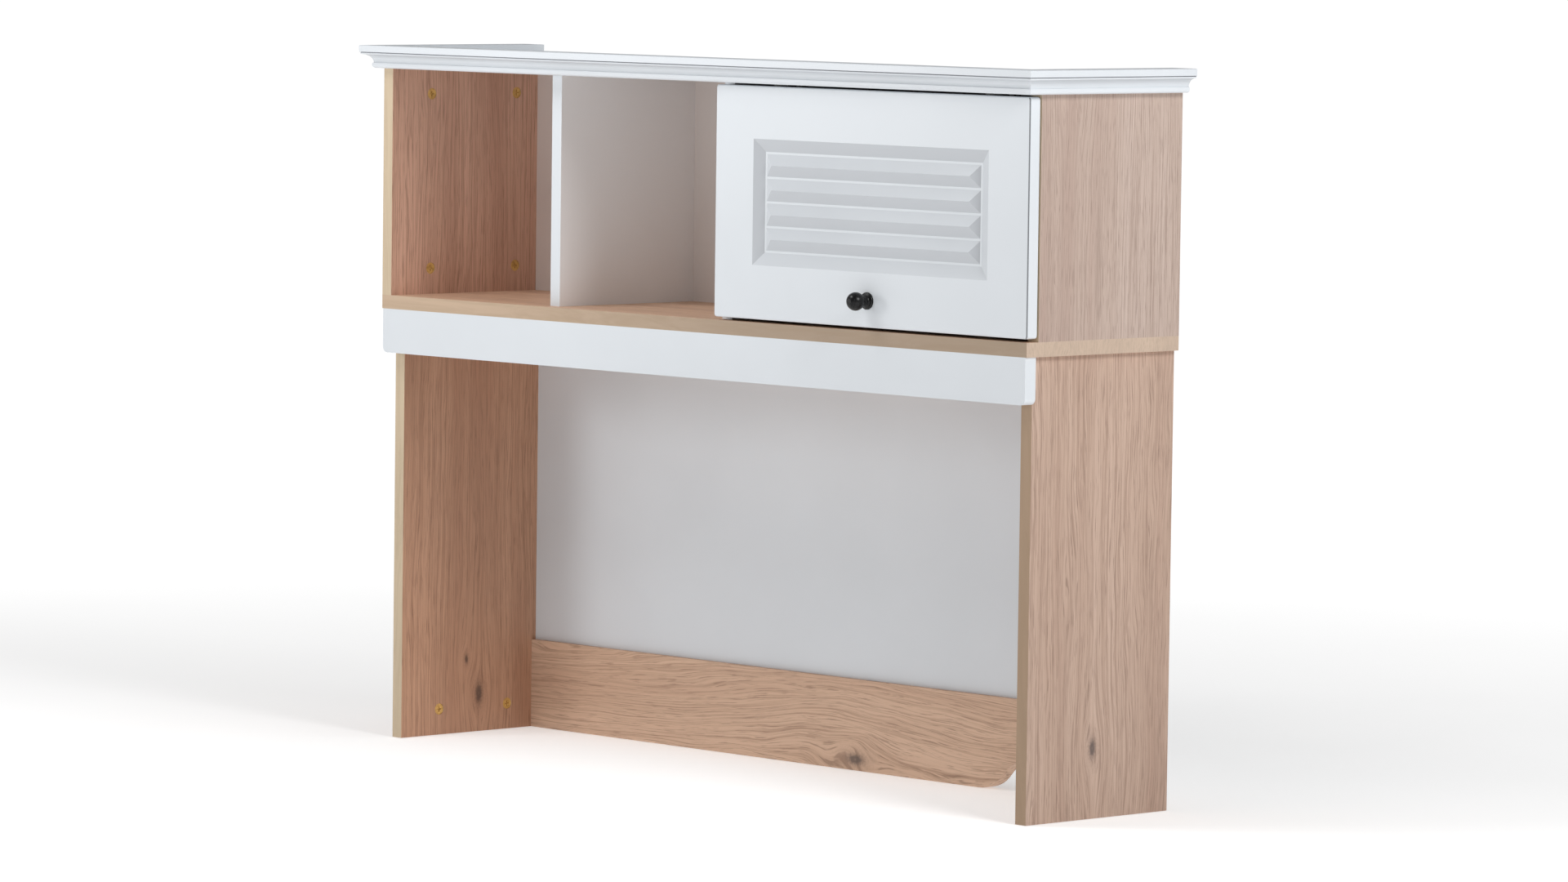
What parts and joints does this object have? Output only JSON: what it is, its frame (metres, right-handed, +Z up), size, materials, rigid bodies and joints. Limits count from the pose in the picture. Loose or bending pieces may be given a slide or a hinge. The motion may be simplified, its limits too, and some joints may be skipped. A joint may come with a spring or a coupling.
{
  "type": "desk hutch",
  "caption": "Raised desk hutch with side panels, a shelf with open compartments, a lift-up louvre-look door with a round knob, and a moulded cornice.",
  "frame": {"origin": "centre of the bounding box at the level of the feet, where the hutch stands on the desk", "axes": "+Z up, +X to the right seen from the front, +Y from the front towards the wall"},
  "size_m": [1.248, 0.2964, 0.917],
  "materials": {
    "oak": "satin light oak laminate",
    "white_board": "satin white laminate and lacquer",
    "black_knob": "semi-gloss black",
    "yellow_zinc": "yellow passivated zinc",
    "beech_dowel": "raw beech",
    "clear_bumper": "soft translucent",
    "zinc_steel": "bright zinc plate"
  },
  "bodies": {
    "carcass": {"apron": "white_board", "back_panel_screws": "zinc_steel", "back_rail": "oak", "cam_bolts": "yellow_zinc", "cam_locks": "yellow_zinc", "cornice_front": "white_board", "cornice_left": "white_board", "cornice_right": "white_board", "door_divider": "white_board", "hinge_arm_left": "zinc_steel", "hinge_arm_right": "zinc_steel", "hinge_arm_screws": "zinc_steel", "hinge_plate_left": "zinc_steel", "hinge_plate_right": "zinc_steel", "hinge_plate_screws": "zinc_steel", "lower_back_panel": "white_board", "lower_side_left": "oak", "lower_side_right": "oak", "open_divider": "white_board", "shelf_board": "oak", "top_board": "white_board", "upper_back_panel": "white_board", "upper_side_left": "oak", "upper_side_right": "oak", "wood_dowels": "beech_dowel"},
    "door": {"door_panel": "white_board", "knob": "black_knob", "knob_screw": "zinc_steel", "door_bumpers": "clear_bumper", "hinge_cup_left": "zinc_steel", "hinge_cup_right": "zinc_steel", "hinge_pin_left": "zinc_steel", "hinge_pin_right": "zinc_steel", "hinge_cup_screws": "zinc_steel"}
  },
  "joints": [
    {"name": "door_lift", "type": "hinge", "parent": "carcass", "child": "door", "pos_m": [0.32225, -0.10925, 0.8775], "axis": [-1, 0, 0], "range_deg": [0, 90]}
  ]
}
